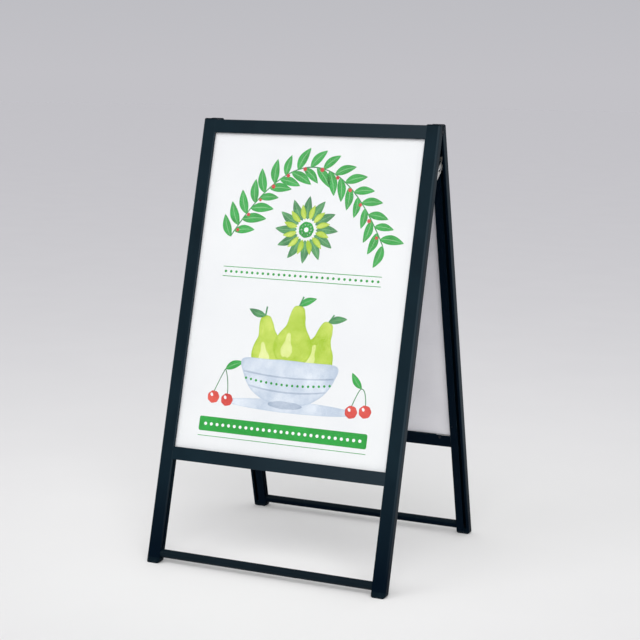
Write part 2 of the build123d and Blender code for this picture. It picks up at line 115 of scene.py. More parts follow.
# %% [markdown]
# ## The camera
# A long lens a little above the board and to its right shows the front, and one side of the A.
# Pan, tilt and roll are three turns, written in the order in which a tripod head makes them.

# %% Place the camera
CAMERA_PLACE = (1.637, -3.633, 1.203)
CAMERA_PAN = math.radians(24.21)
CAMERA_TILT = math.radians(8.715)
CAMERA_ROLL = math.radians(0.911)
LENS = 89.66
SENSOR_WIDTH = 36.0

lens = bpy.data.cameras.new("camera")
lens.lens = LENS
lens.sensor_width = SENSOR_WIDTH
camera = in_scene("camera", lens)
camera.matrix_world = (
    Matrix.Translation(CAMERA_PLACE)
    @ Matrix.Rotation(CAMERA_PAN, 4, "Z")
    @ Matrix.Rotation(math.pi / 2 - CAMERA_TILT, 4, "X")
    @ Matrix.Rotation(CAMERA_ROLL, 4, "Z")
)
bpy.context.scene.camera = camera
away = (Vector(CAMERA_PLACE) - Vector(fold["pos_m"])).length
print("camera to hinge:", round(away, 2), "metres")

# %% [markdown]
# ## Short calls for node trees
# Every finish here is a tree of nodes. Written out in full, each node takes five lines, so a few
# helpers add a node, fill its sockets and link it in one line. Colours are written as the numbers
# of a colour picker and turned into linear light, which is what a shader works with.

# %% Helpers for node trees
def add(tree, kind, inputs=None, **options):
    """Adds a node of this kind, sets its options, and fills or links its inputs."""
    node = tree.nodes.new(kind)
    for option, value in options.items():
        setattr(node, option, value)
    for socket, value in (inputs or {}).items():
        if isinstance(value, bpy.types.NodeSocket):
            tree.links.new(value, node.inputs[socket])
        else:
            node.inputs[socket].default_value = value
    return node


def calc(tree, operation, *values):
    """The result of a Math node."""
    return add(tree, "ShaderNodeMath", dict(enumerate(values)), operation=operation).outputs[0]


def ramp(tree, value, start, end, low=0.0, high=1.0):
    """Maps a value from start..end to low..high, and holds it there."""
    sockets = {"Value": value, "From Min": start, "From Max": end, "To Min": low, "To Max": high}
    return add(tree, "ShaderNodeMapRange", sockets).outputs[0]


def noise(tree, where, scale, detail=2.0, roughness=0.5):
    """Cloudy noise; scale is how many clouds lie in a metre."""
    sockets = {"Vector": where, "Scale": scale, "Detail": detail, "Roughness": roughness}
    return add(tree, "ShaderNodeTexNoise", sockets).outputs[0]


def spread(tree, pattern, low=0.0, high=1.0):
    """Noise lies mostly between 0.3 and 0.7; this stretches that to low..high."""
    return ramp(tree, pattern, 0.3, 0.7, low, high)


def object_place(tree):
    """Where a point lies on the board, in metres."""
    return add(tree, "ShaderNodeTexCoord").outputs["Object"]


def mixed(tree, factor, first, second):
    """A colour between two colours."""
    node = add(tree, "ShaderNodeMix", {0: factor, 6: first, 7: second}, data_type="RGBA")
    return node.outputs[2]


def colour(red, green, blue):
    """A colour picker's 0..255 numbers as linear light, with full alpha."""
    def linear(value):
        share = value / 255
        return share / 12.92 if share <= 0.04045 else ((share + 0.055) / 1.055) ** 2.4
    return (linear(red), linear(green), linear(blue), 1.0)


def new_finish(name):
    """A material, its tree and its main shader."""
    finish = bpy.data.materials.new(name)
    finish.use_nodes = True
    return finish, finish.node_tree, finish.node_tree.nodes["Principled BSDF"]


def feed(tree, shader, sockets):
    """Fills or links several inputs of a shader that is already there."""
    for socket, value in sockets.items():
        if isinstance(value, bpy.types.NodeSocket):
            tree.links.new(value, shader.inputs[socket])
        else:
            shader.inputs[socket].default_value = value


def dress(finish, *nodes):
    """Gives a finish to pieces of the solid model, by name."""
    for node in nodes:
        for slot in frame["nodes"][node].material_slots:
            slot.material = finish


print("linear value of mid grey:", round(colour(128, 128, 128)[0], 3))

# %% [markdown]
# ## Patterns that lie along a leaning bar
# An extruded bar has fine lines along its length. The bars lean by 15 degrees, so the object
# coordinates are turned back by that angle first, and then stretched: a pattern squeezed in two
# directions and pulled out in the third becomes lines.

# %% Coordinates in a frame's own axes
EDGE_SAMPLES = 6
EDGE_RADIUS = 0.6 * MM
EDGE_FROM = 0.985


def bar_axes(tree, side):
    """Object coordinates turned so that z runs up this frame's slope."""
    where = object_place(tree)
    turn = LEAN if side == "front" else -LEAN
    return add(tree, "ShaderNodeMapping", {"Vector": where, "Rotation": (turn, 0, 0)}).outputs[0]


def stretched(tree, where, across, along, direction):
    """Coordinates for lines: across and along are how often the pattern repeats in a metre."""
    scale = (along, across, across) if direction == "x" else (across, across, along)
    return add(tree, "ShaderNodeMapping", {"Vector": where, "Scale": scale}).outputs[0]


def edge_mask(tree, full):
    """1 on sharp outside edges and 0 on flat faces, from a rounded normal and the true one."""
    rounded = add(tree, "ShaderNodeBevel", {"Radius": EDGE_RADIUS}, samples=EDGE_SAMPLES).outputs[0]
    true = add(tree, "ShaderNodeNewGeometry").outputs["True Normal"]
    together = add(tree, "ShaderNodeVectorMath", {0: rounded, 1: true}, operation="DOT_PRODUCT")
    return ramp(tree, together.outputs["Value"], EDGE_FROM, full)


print("pattern turned by", round(math.degrees(LEAN), 1), "degrees")

# %% [markdown]
# ## Black anodised aluminium
# The uprights and rails are extruded, etched matt, anodised and coloured with a blue-black dye.
# The dye sits in a clear oxide skin, so the surface behaves like dark plastic with a soft sheen,
# not like bare metal. Three patterns make it: faint drawing lines along the bar, a cloudy change
# in how deep the dye went, and a lighter line where an edge has been rubbed. Slow changes of tone
# keep a long bar from looking like one flat colour, and they are painted light and shade: a
# painted highlight on the rounded corners, a painted sheen that makes a rail paler to one side,
# and painted shade on all backs and on the lower ends of the uprights.

# %% Finish of the extrusions
DYE = colour(4, 25, 35)
DYE_PALE = colour(10, 33, 43)
RUNG_DYE = colour(6, 20, 28)
RUNG_DYE_PALE = colour(10, 25, 33)
CORNER_HIGHLIGHT_PAINTED = colour(40, 54, 62)
RUBBED = colour(76, 88, 94)
SHADE_PAINTED_COLOUR = colour(2, 14, 26)
RAIL_SHEEN_PAINTED = colour(32, 45, 53)
BAR_DULL = (0.40, 0.47)
BAR_SHEEN = 0.11
RUNG_SHEEN = 0.08
# The share of its sheen that a bar keeps where shade is painted
SHEEN_UNDER_PAINTED_SHADE = 0.25
# Where along a bar the painted sheen of a rail and the painted shade of an upright start and
# are full, in metres from the point under the hinge
SHEEN_PAINTED_FROM, SHEEN_PAINTED_TO = -0.25, 0.30
SHADE_PAINTED_FROM, SHADE_PAINTED_TO = 0.25, -0.04
# How often drawing lines repeat across and along a bar, and clouds and grain anywhere, in a metre
FINE_LINES = (1500, 9)
BROAD_LINES = (130, 1.5)
CLOUDS = 11.0
ETCHED_GRAIN = 2600.0
RUB_MARKS = 60.0
# How much of a pattern or of the painted corner highlight shows, where 1 is all of it
BROAD_STRENGTH = 0.35
CORNER_HIGHLIGHT_STRENGTH = 0.8
RUB_STRENGTH = 0.55


def anodised_tone(tree, side, where, dye, dye_pale, direction):
    """The dye's colour with painted light and shade, no wear; 1 where shade is painted; the clouds.
    """
    cloud = noise(tree, where, CLOUDS, 3.0)
    broad = noise(tree, stretched(tree, where, *BROAD_LINES, direction), 1.0, 2.0)
    dye_and_painted_light = mixed(tree, spread(tree, cloud), dye, dye_pale)
    dye_and_painted_light = mixed(tree, ramp(tree, broad, 0.35, 0.75, 0.0, BROAD_STRENGTH), dye_and_painted_light, dye_pale)
    # Painted highlight: a rounded corner, where the surface faces both sideways and forwards, is
    # painted paler
    normal = add(tree, "ShaderNodeTexCoord").outputs["Normal"]
    facing = add(tree, "ShaderNodeSeparateXYZ", {0: normal}).outputs
    corner = calc(tree, "ABSOLUTE", calc(tree, "MULTIPLY", facing["X"], facing["Y"]))
    dye_and_painted_light = mixed(tree, ramp(tree, corner, 0.12, 0.42, 0.0, CORNER_HIGHLIGHT_STRENGTH), dye_and_painted_light, CORNER_HIGHLIGHT_PAINTED)
    place = add(tree, "ShaderNodeSeparateXYZ", {0: where}).outputs
    hand = 1 if side == "front" else -1
    # Painted sheen: a rail turns paler towards one side
    if dye is DYE and direction == "x":
        dye_and_painted_light = mixed(tree, ramp(tree, place["X"], SHEEN_PAINTED_FROM * hand, SHEEN_PAINTED_TO * hand), dye_and_painted_light, RAIL_SHEEN_PAINTED)
    # Painted shade: faces that look backwards, and on uprights also the lower ends, turn darker
    backwards = PLACES[side].to_3x3() @ Vector((0, 1, 0))
    behind = add(tree, "ShaderNodeVectorMath", {0: normal, 1: backwards}, operation="DOT_PRODUCT")
    deep = ramp(tree, behind.outputs["Value"], 0.75, 0.97)
    if direction == "z":
        deep = calc(tree, "MAXIMUM", deep, ramp(tree, place["Z"], SHADE_PAINTED_FROM, SHADE_PAINTED_TO))
    return mixed(tree, deep, dye_and_painted_light, SHADE_PAINTED_COLOUR), deep, cloud


print("drawing lines are", round(1000 / FINE_LINES[0], 2), "mm apart")

# %% Give the bars their finish
def anodised(name, side, direction, dye, dye_pale, sheen):
    finish, tree, shader = new_finish(name)
    where = bar_axes(tree, side)
    dye_and_painted_light, deep, cloud = anodised_tone(tree, side, where, dye, dye_pale, direction)
    fine = noise(tree, stretched(tree, where, *FINE_LINES, direction), 1.0, 3.0)
    grain = noise(tree, where, ETCHED_GRAIN, 1.0)
    worn = calc(tree, "MULTIPLY", edge_mask(tree, 0.86),
                ramp(tree, noise(tree, where, RUB_MARKS, 4.0), 0.5, 0.72))
    bare = mixed(tree, calc(tree, "MULTIPLY", worn, RUB_STRENGTH), dye_and_painted_light, RUBBED)
    dull = calc(tree, "ADD", ramp(tree, cloud, 0.25, 0.75, *BAR_DULL),
                 spread(tree, fine, 0.0, 0.07))
    relief = calc(tree, "ADD", fine, calc(tree, "MULTIPLY", grain, 0.5))
    bumped = add(tree, "ShaderNodeBump",
                 {"Strength": 0.12, "Distance": 0.12 * MM, "Height": relief})
    # Where shade is painted, the sheen is weaker as well
    shine = ramp(tree, deep, 0.0, 1.0, sheen, SHEEN_UNDER_PAINTED_SHADE * sheen)
    feed(tree, shader, {"Base Color": bare, "Roughness": dull, "Normal": bumped.outputs[0],
                        "Specular IOR Level": shine})
    return finish


for side in PLACES:
    upright = anodised(f"black anodised upright {side}", side, "z", DYE, DYE_PALE, BAR_SHEEN)
    across = anodised(f"black anodised rail {side}", side, "x", DYE, DYE_PALE, BAR_SHEEN)
    tube = anodised(f"black anodised rung {side}", side, "x", RUNG_DYE, RUNG_DYE_PALE, RUNG_SHEEN)
    dress(upright, f"{side}_stile_left", f"{side}_stile_right")
    dress(across, f"{side}_top_rail", f"{side}_mid_rail")
    dress(tube, f"{side}_rung")
print("a frame's bars:", [finish.name for finish in (upright, across, tube)])

# %% [markdown]
# ## Moulded black plastic
# The top caps and the feet are injection moulded. Such a part has a fine spark-eroded grain, is a
# touch greyer and duller than the metal beside it, and a foot is scuffed where it meets the
# ground. The grain is two sizes of noise as bump; the scuffing fades out above the sole.

# %% Finish of caps and feet
PLASTIC = colour(4, 17, 25)
PLASTIC_PALE = colour(11, 26, 35)
SCUFF = colour(70, 74, 76)
SCUFF_HEIGHT = 9 * MM
SPARK_GRAIN = 2100.0
SPARK_PITS = 1300.0
PLASTIC_DULL = (0.40, 0.52)
PLASTIC_SHEEN = 0.03
SCUFF_STRENGTH = 0.6


def moulded(name, scuffed):
    finish, tree, shader = new_finish(name)
    where = object_place(tree)
    grain = noise(tree, where, SPARK_GRAIN, 2.0)
    pits = add(tree, "ShaderNodeTexVoronoi", {"Vector": where, "Scale": SPARK_PITS}).outputs[0]
    cloud = noise(tree, where, 45.0, 3.0)
    base = mixed(tree, spread(tree, cloud), PLASTIC, PLASTIC_PALE)
    worn = edge_mask(tree, 0.8)
    marks = ramp(tree, noise(tree, where, 240.0, 4.0), 0.52, 0.66)
    if scuffed:
        height = add(tree, "ShaderNodeSeparateXYZ", {0: where}).outputs["Z"]
        worn = calc(tree, "MAXIMUM", worn, ramp(tree, height, SCUFF_HEIGHT, 0.0))
    scuffs = calc(tree, "MULTIPLY", calc(tree, "MULTIPLY", worn, marks), SCUFF_STRENGTH)
    base = mixed(tree, scuffs, base, SCUFF)
    relief = calc(tree, "ADD", grain, calc(tree, "MULTIPLY", pits, 0.6))
    bumped = add(tree, "ShaderNodeBump",
                 {"Strength": 0.25, "Distance": 0.1 * MM, "Height": relief})
    dull = ramp(tree, cloud, 0.2, 0.8, *PLASTIC_DULL)
    feed(tree, shader, {"Base Color": base, "Roughness": dull, "Normal": bumped.outputs[0],
                        "Specular IOR Level": PLASTIC_SHEEN})
    return finish


cap_plastic = moulded("moulded black cap", scuffed=False)
foot_plastic = moulded("moulded black foot", scuffed=True)
for side in PLACES:
    for hand in ("left", "right"):
        dress(cap_plastic, f"{side}_hinge_cap_{hand}")
        dress(foot_plastic, f"{side}_foot_{hand}")
    dress(cap_plastic, f"{side}_stay_spacers")
print("scuffed up to", SCUFF_HEIGHT / MM, "mm above the ground")

# %% [markdown]
# ## Zinc-plated and bright steel
# The stays, their brackets and the corner pieces are pressed from plated sheet, which has a
# cloudy, slightly blue-yellow bloom and fine rolling lines. The stays' pins are turned from bright
# bar, and the hinge pins and screws are blackened so that they vanish in the dark frame. A metal
# has no colour of its own beside that of its reflection. Only the zinc is set a little short of
# full metal, because the dull bloom on it is no metal and scatters light evenly.

# %% Finish of the steel pieces
ZINC = colour(222, 224, 227)
ZINC_WARM = colour(232, 229, 219)
BRIGHT = colour(216, 216, 219)
BRIGHT_WARM = colour(210, 207, 202)
SCREW_BLACK = colour(56, 57, 60)
SCREW_BLUED = colour(46, 50, 60)
BLOOM = 90.0
CRYSTALS = 260.0
ROLLING_LINES = 3000
ZINC_METAL = 0.7


def plated(name, first, second, lines_along, dullest, metal=1.0):
    finish, tree, shader = new_finish(name)
    where = object_place(tree)
    bloom = noise(tree, where, BLOOM, 4.0)
    cells = add(tree, "ShaderNodeTexVoronoi", {"Vector": where, "Scale": CRYSTALS}).outputs["Color"]
    lines = noise(tree, stretched(tree, where, ROLLING_LINES, lines_along, "z"), 1.0, 2.0)
    tint = mixed(tree, ramp(tree, bloom, 0.35, 0.65), first, second)
    shade = add(tree, "ShaderNodeSeparateColor", {0: cells}).outputs[0]
    dull = calc(tree, "ADD", ramp(tree, shade, 0.0, 1.0, dullest - 0.12, dullest),
                spread(tree, lines, 0.0, 0.08))
    bumped = add(tree, "ShaderNodeBump",
                 {"Strength": 0.1, "Distance": 0.05 * MM, "Height": lines})
    feed(tree, shader, {"Base Color": tint, "Metallic": metal, "Roughness": dull,
                        "Normal": bumped.outputs[0]})
    return finish


zinc = plated("zinc-plated sheet", ZINC, ZINC_WARM, 60, 0.45, ZINC_METAL)
bright = plated("bright turned steel", BRIGHT, BRIGHT_WARM, ROLLING_LINES, 0.30)
black_screw = plated("blackened screw steel", SCREW_BLACK, SCREW_BLUED, 400, 0.50)
dress(zinc, "stay_left", "stay_right")
dress(black_screw, "hinge_pin_left", "hinge_pin_right")
for side in PLACES:
    dress(zinc, f"{side}_corner_brackets", f"{side}_stay_brackets", f"{side}_rung_plugs")
    dress(bright, f"{side}_stay_pins", f"{side}_stay_rivets")
    dress(black_screw, f"{side}_cap_screws", f"{side}_rung_screws")
print("steel finishes:", zinc.name, bright.name, black_screw.name)

# %% [markdown]
# ## Screws with real drives
# Small screws hold the corner pieces: pan heads with a cross recess in the rails, and headless
# ones with a hexagon socket in the uprights. The solid model has them as plain cylinders. A
# screw is a turned shape, so it is built from rings, and the drive is one more ring whose radius
# changes with the angle. A Geometry Nodes tree then puts a screw at each place, turned by a
# random angle, because no two screws stop at the same one.

# %% Turn a screw and cut its drive
RING_STEPS = 36
DRIVE_TAPER = 0.8


def cross_radius(angle, arm, half_width):
    """Distance from the middle to the rim of a cross-shaped opening."""
    off = (angle + math.pi / 4) % (math.pi / 2) - math.pi / 4
    return min(arm / math.cos(off), half_width / max(abs(math.sin(off)), 1e-6))


def hexagon_radius(angle, flat):
    """Distance from the middle to the rim of a hexagonal opening, flat to middle given."""
    off = (angle + math.pi / 6) % (math.pi / 3) - math.pi / 6
    return flat / math.cos(off)


def turned_screw(name, rings, opening, drive_depth):
    """A closed screw along y from (radius, y) rings, tip first, with a drive in its last ring."""
    top = rings[-1][1]
    shape = bmesh.new()
    angles = [2 * math.pi * step / RING_STEPS for step in range(RING_STEPS)]
    loops = [[(radius * math.cos(a), y, radius * math.sin(a)) for a in angles]
             for radius, y in rings]
    for share, y in ((1.0, top), (DRIVE_TAPER, top - drive_depth)):
        loops.append([(share * opening(a) * math.cos(a), y, share * opening(a) * math.sin(a))
                      for a in angles])
    loops = [[shape.verts.new(point) for point in loop] for loop in loops]
    tip = shape.verts.new((0, rings[0][1], 0))
    floor_middle = shape.verts.new((0, top - drive_depth, 0))
    for index in range(RING_STEPS):
        after = (index + 1) % RING_STEPS
        for lower, upper in zip(loops, loops[1:]):
            shape.faces.new((lower[index], lower[after], upper[after], upper[index]))
        shape.faces.new((tip, loops[0][after], loops[0][index]))
        shape.faces.new((loops[-1][index], loops[-1][after], floor_middle))
    bmesh.ops.recalc_face_normals(shape, faces=shape.faces)
    return bpy.data.objects.new(name, as_mesh(name, shape))


print("points round a screw:", RING_STEPS)

# %% The tree that sets a screw at each place
def geometry_tree(name, **inputs):
    """A Geometry Nodes tree with named inputs and one output, and the inputs' sockets."""
    tree = bpy.data.node_groups.new(name, "GeometryNodeTree")
    for title, kind in inputs.items():
        tree.interface.new_socket(title.replace("_", " "), in_out="INPUT",
                                  socket_type=f"NodeSocket{kind}")
    tree.interface.new_socket("Geometry", in_out="OUTPUT", socket_type="NodeSocketGeometry")
    return tree, add(tree, "NodeGroupInput").outputs


def shape_of(tree, given):
    """The geometry of an object that the tree is given."""
    return add(tree, "GeometryNodeObjectInfo", {"Object": given}).outputs["Geometry"]


def set_copies(tree, finish, **sockets):
    """Ends a tree: copies on points, made real, in one finish."""
    copies = add(tree, "GeometryNodeInstanceOnPoints", sockets).outputs[0]
    real = add(tree, "GeometryNodeRealizeInstances", {"Geometry": copies}).outputs[0]
    coated = add(tree, "GeometryNodeSetMaterial", {"Geometry": real, "Material": finish})
    add(tree, "NodeGroupOutput", {"Geometry": coated.outputs[0]})
    return tree


def screws_at_points():
    tree, given = geometry_tree("screws at points", Places="Object", Screw="Object", Seed="Int",
                                Finish="Material")
    places, screw = shape_of(tree, given["Places"]), shape_of(tree, given["Screw"])
    turn = add(tree, "FunctionNodeRandomValue",
               {2: 0.0, 3: 2 * math.pi, "Seed": given["Seed"]}).outputs[1]
    angle = add(tree, "FunctionNodeAxisAngleToRotation", {"Axis": (0, 1, 0), "Angle": turn})
    return set_copies(tree, given["Finish"], Points=places, Instance=screw,
                      Rotation=angle.outputs[0])


SCREWS = screws_at_points()
print("tree:", SCREWS.name, "with", len(SCREWS.nodes), "nodes")

# %% Run a Geometry Nodes tree once
def grown(name, tree, values):
    """Runs a tree once and keeps what it made as a plain mesh."""
    piece = in_scene(name, bpy.data.meshes.new(name))
    modifier = piece.modifiers.new(name, "NODES")
    modifier.node_group = tree
    for item in tree.interface.items_tree:
        if item.in_out == "INPUT" and item.name in values:
            modifier[item.identifier] = values[item.name]
    bpy.context.view_layer.update()
    seen = piece.evaluated_get(bpy.context.evaluated_depsgraph_get())
    mesh = bpy.data.meshes.new_from_object(seen)
    piece.modifiers.remove(modifier)
    piece.data = mesh
    return piece


def screw_places(side, node):
    """Middle of each of a node's four screws in the frame's own axes, and the first one's size."""
    points = own_points(side, node)
    middle = sum(point.z for point in points) / len(points)
    boxes = []
    for right in (False, True):
        for upper in (False, True):
            boxes.append(box_round([point for point in points
                                    if (point.x > 0) == right and (point.z > middle) == upper]))
    return [(low + high) / 2 for low, high in boxes], boxes[0]


heights = {round(point.z / MM) for point in screw_places("front", "front_rail_screws")[0]}
print("rail screws lie", sorted(heights), "mm up the slope")

# %% Profiles of the two kinds of screw
PAN_HEAD = 1.6 * MM
CROSS_DEPTH = 1.2 * MM
HEXAGON_DEPTH = 1.8 * MM
SHANK = 0.59


def pan_screw(radius, reach):
    """A pan head with a cross recess; radius is the head's, reach is half of its length."""
    under = reach - PAN_HEAD
    rings = ((0.55 * radius, -reach), (SHANK * radius, 0.4 * MM - reach), (SHANK * radius, under),
             (radius, under), (radius, under + 0.5 * MM), (0.94 * radius, under + 1.0 * MM),
             (0.78 * radius, under + 1.4 * MM), (0.6 * radius, reach))
    return turned_screw("screw", rings,
                        lambda angle: cross_radius(angle, 0.5 * radius, 0.16 * radius), CROSS_DEPTH)


def set_screw(radius, reach):
    """A headless screw with a hexagon socket."""
    rings = ((0.7 * radius, -reach), (radius, 0.5 * MM - reach), (radius, reach - 0.3 * MM),
             (0.86 * radius, reach))
    return turned_screw("screw", rings,
                        lambda angle: hexagon_radius(angle, 0.5 * radius), HEXAGON_DEPTH)


print("drives are", CROSS_DEPTH / MM, "and", HEXAGON_DEPTH / MM, "mm deep")

# %% Set the screws into the rails and uprights
KINDS = (("rail_screws", pan_screw, 3), ("corner_set_screws", set_screw, 8))
for side in PLACES:
    for kind, drawn, seed in KINDS:
        node = f"{side}_{kind}"
        middles, (low, high) = screw_places(side, node)
        screw = drawn((high.x - low.x) / 2, (high.y - low.y) / 2)
        places = bpy.data.objects.new("places", bpy.data.meshes.new("places"))
        places.data.from_pydata(middles, [], [])
        piece = grown(f"{node}_driven", SCREWS, {"Places": places, "Screw": screw, "Seed": seed,
                                                 "Finish": black_screw})
        piece.data.transform(PLACES[side])
        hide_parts(node)
        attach(piece, BODIES[side])
        for helper in (places, screw):
            bpy.data.objects.remove(helper)
        print(piece.name, "faces:", len(piece.data.polygons))

# %% [markdown]
# ## The clear cover
# A 2 mm clear sheet protects each poster. Real glass shaders bend light and make the poster below
# dark and noisy, and a flat sheet hardly bends anything. So the sheet is a mix of Transparent and
# Glossy by Fresnel: it lets the poster through and adds only the sheen. Faces seen from inside
# stay clear, so that the sheen isn't counted twice. Hairline scratches vary the gloss.

# %% Finish of the clear cover
CLEAR_IOR = 1.45
COVER_DULL = (0.16, 0.22)
HAIRLINES = (900, 25)
HAIRLINE_STRENGTH = 0.1


def clear_sheet(name, side):
    finish, tree, shader = new_finish(name)
    tree.nodes.remove(shader)
    where = bar_axes(tree, side)
    hairs = noise(tree, stretched(tree, where, *HAIRLINES, "x"), 1.0, 3.0)
    haze = noise(tree, where, 7.0, 3.0)
    dull = calc(tree, "ADD", spread(tree, haze, *COVER_DULL),
                ramp(tree, hairs, 0.6, 0.75, 0.0, HAIRLINE_STRENGTH))
    shine = add(tree, "ShaderNodeBsdfGlossy", {"Color": (1, 1, 1, 1), "Roughness": dull})
    through = add(tree, "ShaderNodeBsdfTransparent", {"Color": (0.998, 1, 1, 1)})
    fresnel = add(tree, "ShaderNodeFresnel", {"IOR": CLEAR_IOR}).outputs[0]
    inward = add(tree, "ShaderNodeNewGeometry").outputs["Backfacing"]
    outward = calc(tree, "MULTIPLY", fresnel, calc(tree, "SUBTRACT", 1.0, inward))
    sheet = add(tree, "ShaderNodeMixShader", {0: outward, 1: through.outputs[0],
                                              2: shine.outputs[0]})
    tree.links.new(sheet.outputs[0], tree.nodes["Material Output"].inputs["Surface"])
    return finish


for side in PLACES:
    dress(clear_sheet(f"clear cover {side}", side), f"{side}_cover_sheet")
print("clear cover IOR:", CLEAR_IOR)

# %% [markdown]
# ## The backing board
# The pale panel that shows inside the A is a 5 mm foamed board. It is a dull off-white with an
# orange-peel surface, faint grey rub marks and a soft cloudiness. All of these are noise: fine for
# the surface, stretched along the board for the rub marks, and large for the clouds.

# %% Finish of the backing board
BOARD = colour(228, 227, 231)
BOARD_DARK = colour(212, 211, 216)
BOARD_DULL = (0.5, 0.62)
ORANGE_PEEL = 800.0
RUBS = (40, 5)
RUBS_STRENGTH = 0.5


def foamed_board(name, side):
    finish, tree, shader = new_finish(name)
    where = bar_axes(tree, side)
    cloud = noise(tree, where, 5.0, 4.0)
    peel = noise(tree, where, ORANGE_PEEL, 2.0)
    streaks = noise(tree, stretched(tree, where, *RUBS, "x"), 1.0, 5.0)
    rubs = ramp(tree, streaks, 0.66, 0.8, 0.0, RUBS_STRENGTH)
    base = mixed(tree, ramp(tree, cloud, 0.35, 0.7), BOARD, BOARD_DARK)
    base = mixed(tree, rubs, base, BOARD_DARK)
    bumped = add(tree, "ShaderNodeBump",
                 {"Strength": 0.15, "Distance": 0.2 * MM, "Height": peel})
    feed(tree, shader, {"Base Color": base, "Roughness": spread(tree, cloud, *BOARD_DULL),
                        "Normal": bumped.outputs[0]})
    return finish


for side in PLACES:
    dress(foamed_board(f"foamed board {side}", side), f"{side}_backing_board")
print("boards dressed:", len(PLACES))

# %% [markdown]
# ## Paper and printing inks
# The poster is coated paper with a painted design. Flat inks would look like plastic film, so the
# inks are washes: a large noise thins and deepens the colour, a tiny one lets the paper's tooth
# through, and pigment gathers in a darker line at the rim of each patch, as in watercolour. Every
# patch carries a value called rim, 1 at its outline and 0 inside, which places that line.

# %% Finishes of the paper and the inks
PAPER = colour(234, 235, 236)
PAPER_SHADE = colour(230, 231, 233)
FIBRES = 1500.0
TOOTH = 420.0
# Coated paper and ink on it are both dull, and their roughness keeps between these two
PRINT_DULL = (0.5, 0.6)


def printing_paper(name):
    finish, tree, shader = new_finish(name)
    where = object_place(tree)
    fibre = noise(tree, where, FIBRES, 4.0)
    tone = noise(tree, where, 6.0, 2.0)
    base = mixed(tree, spread(tree, tone), PAPER, PAPER_SHADE)
    bumped = add(tree, "ShaderNodeBump",
                 {"Strength": 0.05, "Distance": 0.05 * MM, "Height": fibre})
    feed(tree, shader, {"Base Color": base, "Roughness": spread(tree, fibre, *PRINT_DULL),
                        "Normal": bumped.outputs[0]})
    return finish


def wash(name, thin, deep, rim_strength):
    """Watercolour ink between two depths of one colour."""
    finish, tree, shader = new_finish(name)
    where = object_place(tree)
    pool = noise(tree, where, 16.0, 4.0, 0.6)
    tooth = noise(tree, where, TOOTH, 3.0)
    rim = add(tree, "ShaderNodeAttribute", attribute_name="rim").outputs["Fac"]
    depth = ramp(tree, pool, 0.32, 0.68)
    depth = calc(tree, "ADD", depth, calc(tree, "MULTIPLY", rim, rim_strength))
    depth = calc(tree, "ADD", depth, ramp(tree, tooth, 0.35, 0.65, -0.12, 0.12))
    base = mixed(tree, ramp(tree, depth, 0.0, 1.0), thin, deep)
    feed(tree, shader, {"Base Color": base, "Roughness": spread(tree, tooth, *PRINT_DULL)})
    return finish


paper = printing_paper("coated paper")
INKS = {
    "green": wash("strong green ink", colour(28, 170, 62), colour(8, 150, 42), 0.35),
    "dark": wash("dark green ink", colour(74, 160, 92), colour(24, 112, 58), 0.5),
    "lime": wash("lime wash", colour(206, 222, 100), colour(162, 196, 22), 0.9),
    "pale": wash("pale lime wash", colour(232, 238, 170), colour(206, 222, 112), 0.3),
    "sky": wash("pale blue-grey wash", colour(226, 232, 240), colour(186, 199, 216), 0.8),
    "slate": wash("blue-grey wash", colour(196, 206, 220), colour(150, 166, 188), 0.7),
    "red": wash("red ink", colour(228, 92, 76), colour(196, 38, 40), 0.6),
    "white": wash("unprinted white", colour(243, 244, 246), colour(238, 239, 242), 0.0),
}
print("inks:", ", ".join(INKS))

# %% [markdown]
# ## The sheet of paper
# The solid model's poster is as thick as a few sheets and touches the cover. The visible one is
# made again as a thinner sheet, so that the inks get a hair's breadth of room under the cover.
# A grid of small faces is cheap, and has none of the long thin triangles of one big face. The art
# gets axes of its own on the paper's face, and its y is measured from the sheet's lower edge.

# %% Lay a sheet of paper in each frame
INK_ROOM = 0.15 * MM
CELL = 20 * MM


def solid_from(faces_mesh, name, depth, finish):
    """Closes flat faces into a thin solid whose underside lies at this depth below zero."""
    faces = list(faces_mesh.faces)
    copied = bmesh.ops.extrude_face_region(faces_mesh, geom=faces, use_keep_orig=True)["geom"]
    for item in copied:
        if isinstance(item, bmesh.types.BMVert):
            item.co.z = -depth
    bmesh.ops.recalc_face_normals(faces_mesh, faces=faces_mesh.faces)
    piece = in_scene(name, as_mesh(name, faces_mesh))
    piece.data.materials.append(finish)
    return piece


def art_place(side, node_low):
    """Matrix onto the paper's face from x across, y up from the sheet's lower edge, and z out."""
    out_of_paper = Matrix(((1, 0, 0, 0), (0, 0, -1, 0), (0, 1, 0, 0), (0, 0, 0, 1)))
    return (PLACES[side] @ Matrix.Translation((0, node_low.y + INK_ROOM, node_low.z))
            @ out_of_paper)


ART = {}
for side in PLACES:
    low, high = box_round(own_points(side, f"{side}_poster"))
    width, height = high.x - low.x, high.z - low.z
    sheet = bmesh.new()
    bmesh.ops.create_grid(sheet, x_segments=round(width / CELL), y_segments=round(height / CELL),
                          size=0.5)
    for vertex in sheet.verts:
        vertex.co.x *= width
        vertex.co.y = (vertex.co.y + 0.5) * height
    piece = solid_from(sheet, f"{side}_paper", high.y - low.y - INK_ROOM, paper)
    ART[side] = art_place(side, low)
    piece.data.transform(ART[side])
    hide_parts(f"{side}_poster")
    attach(piece, BODIES[side])
SHOWN_FROM = box_round(own_points("front", "front_mid_rail"))[1].z - low.z
print("paper:", round(width / MM), "x", round(height / MM), "mm")
print("shown from", round(SHOWN_FROM / MM, 1), "mm above its lower edge")

# %% [markdown]
# ## Painting a patch
# A painted patch is a flat shape with a smooth, slightly wavering outline. A few corner points are
# enough: a closed Catmull-Rom curve runs through them. The patch is filled with rings that shrink
# towards its middle, so that the rim value can fall off quickly beside the outline. Each patch
# has its own height of a few hundredths of a millimetre, which settles what lies over what.

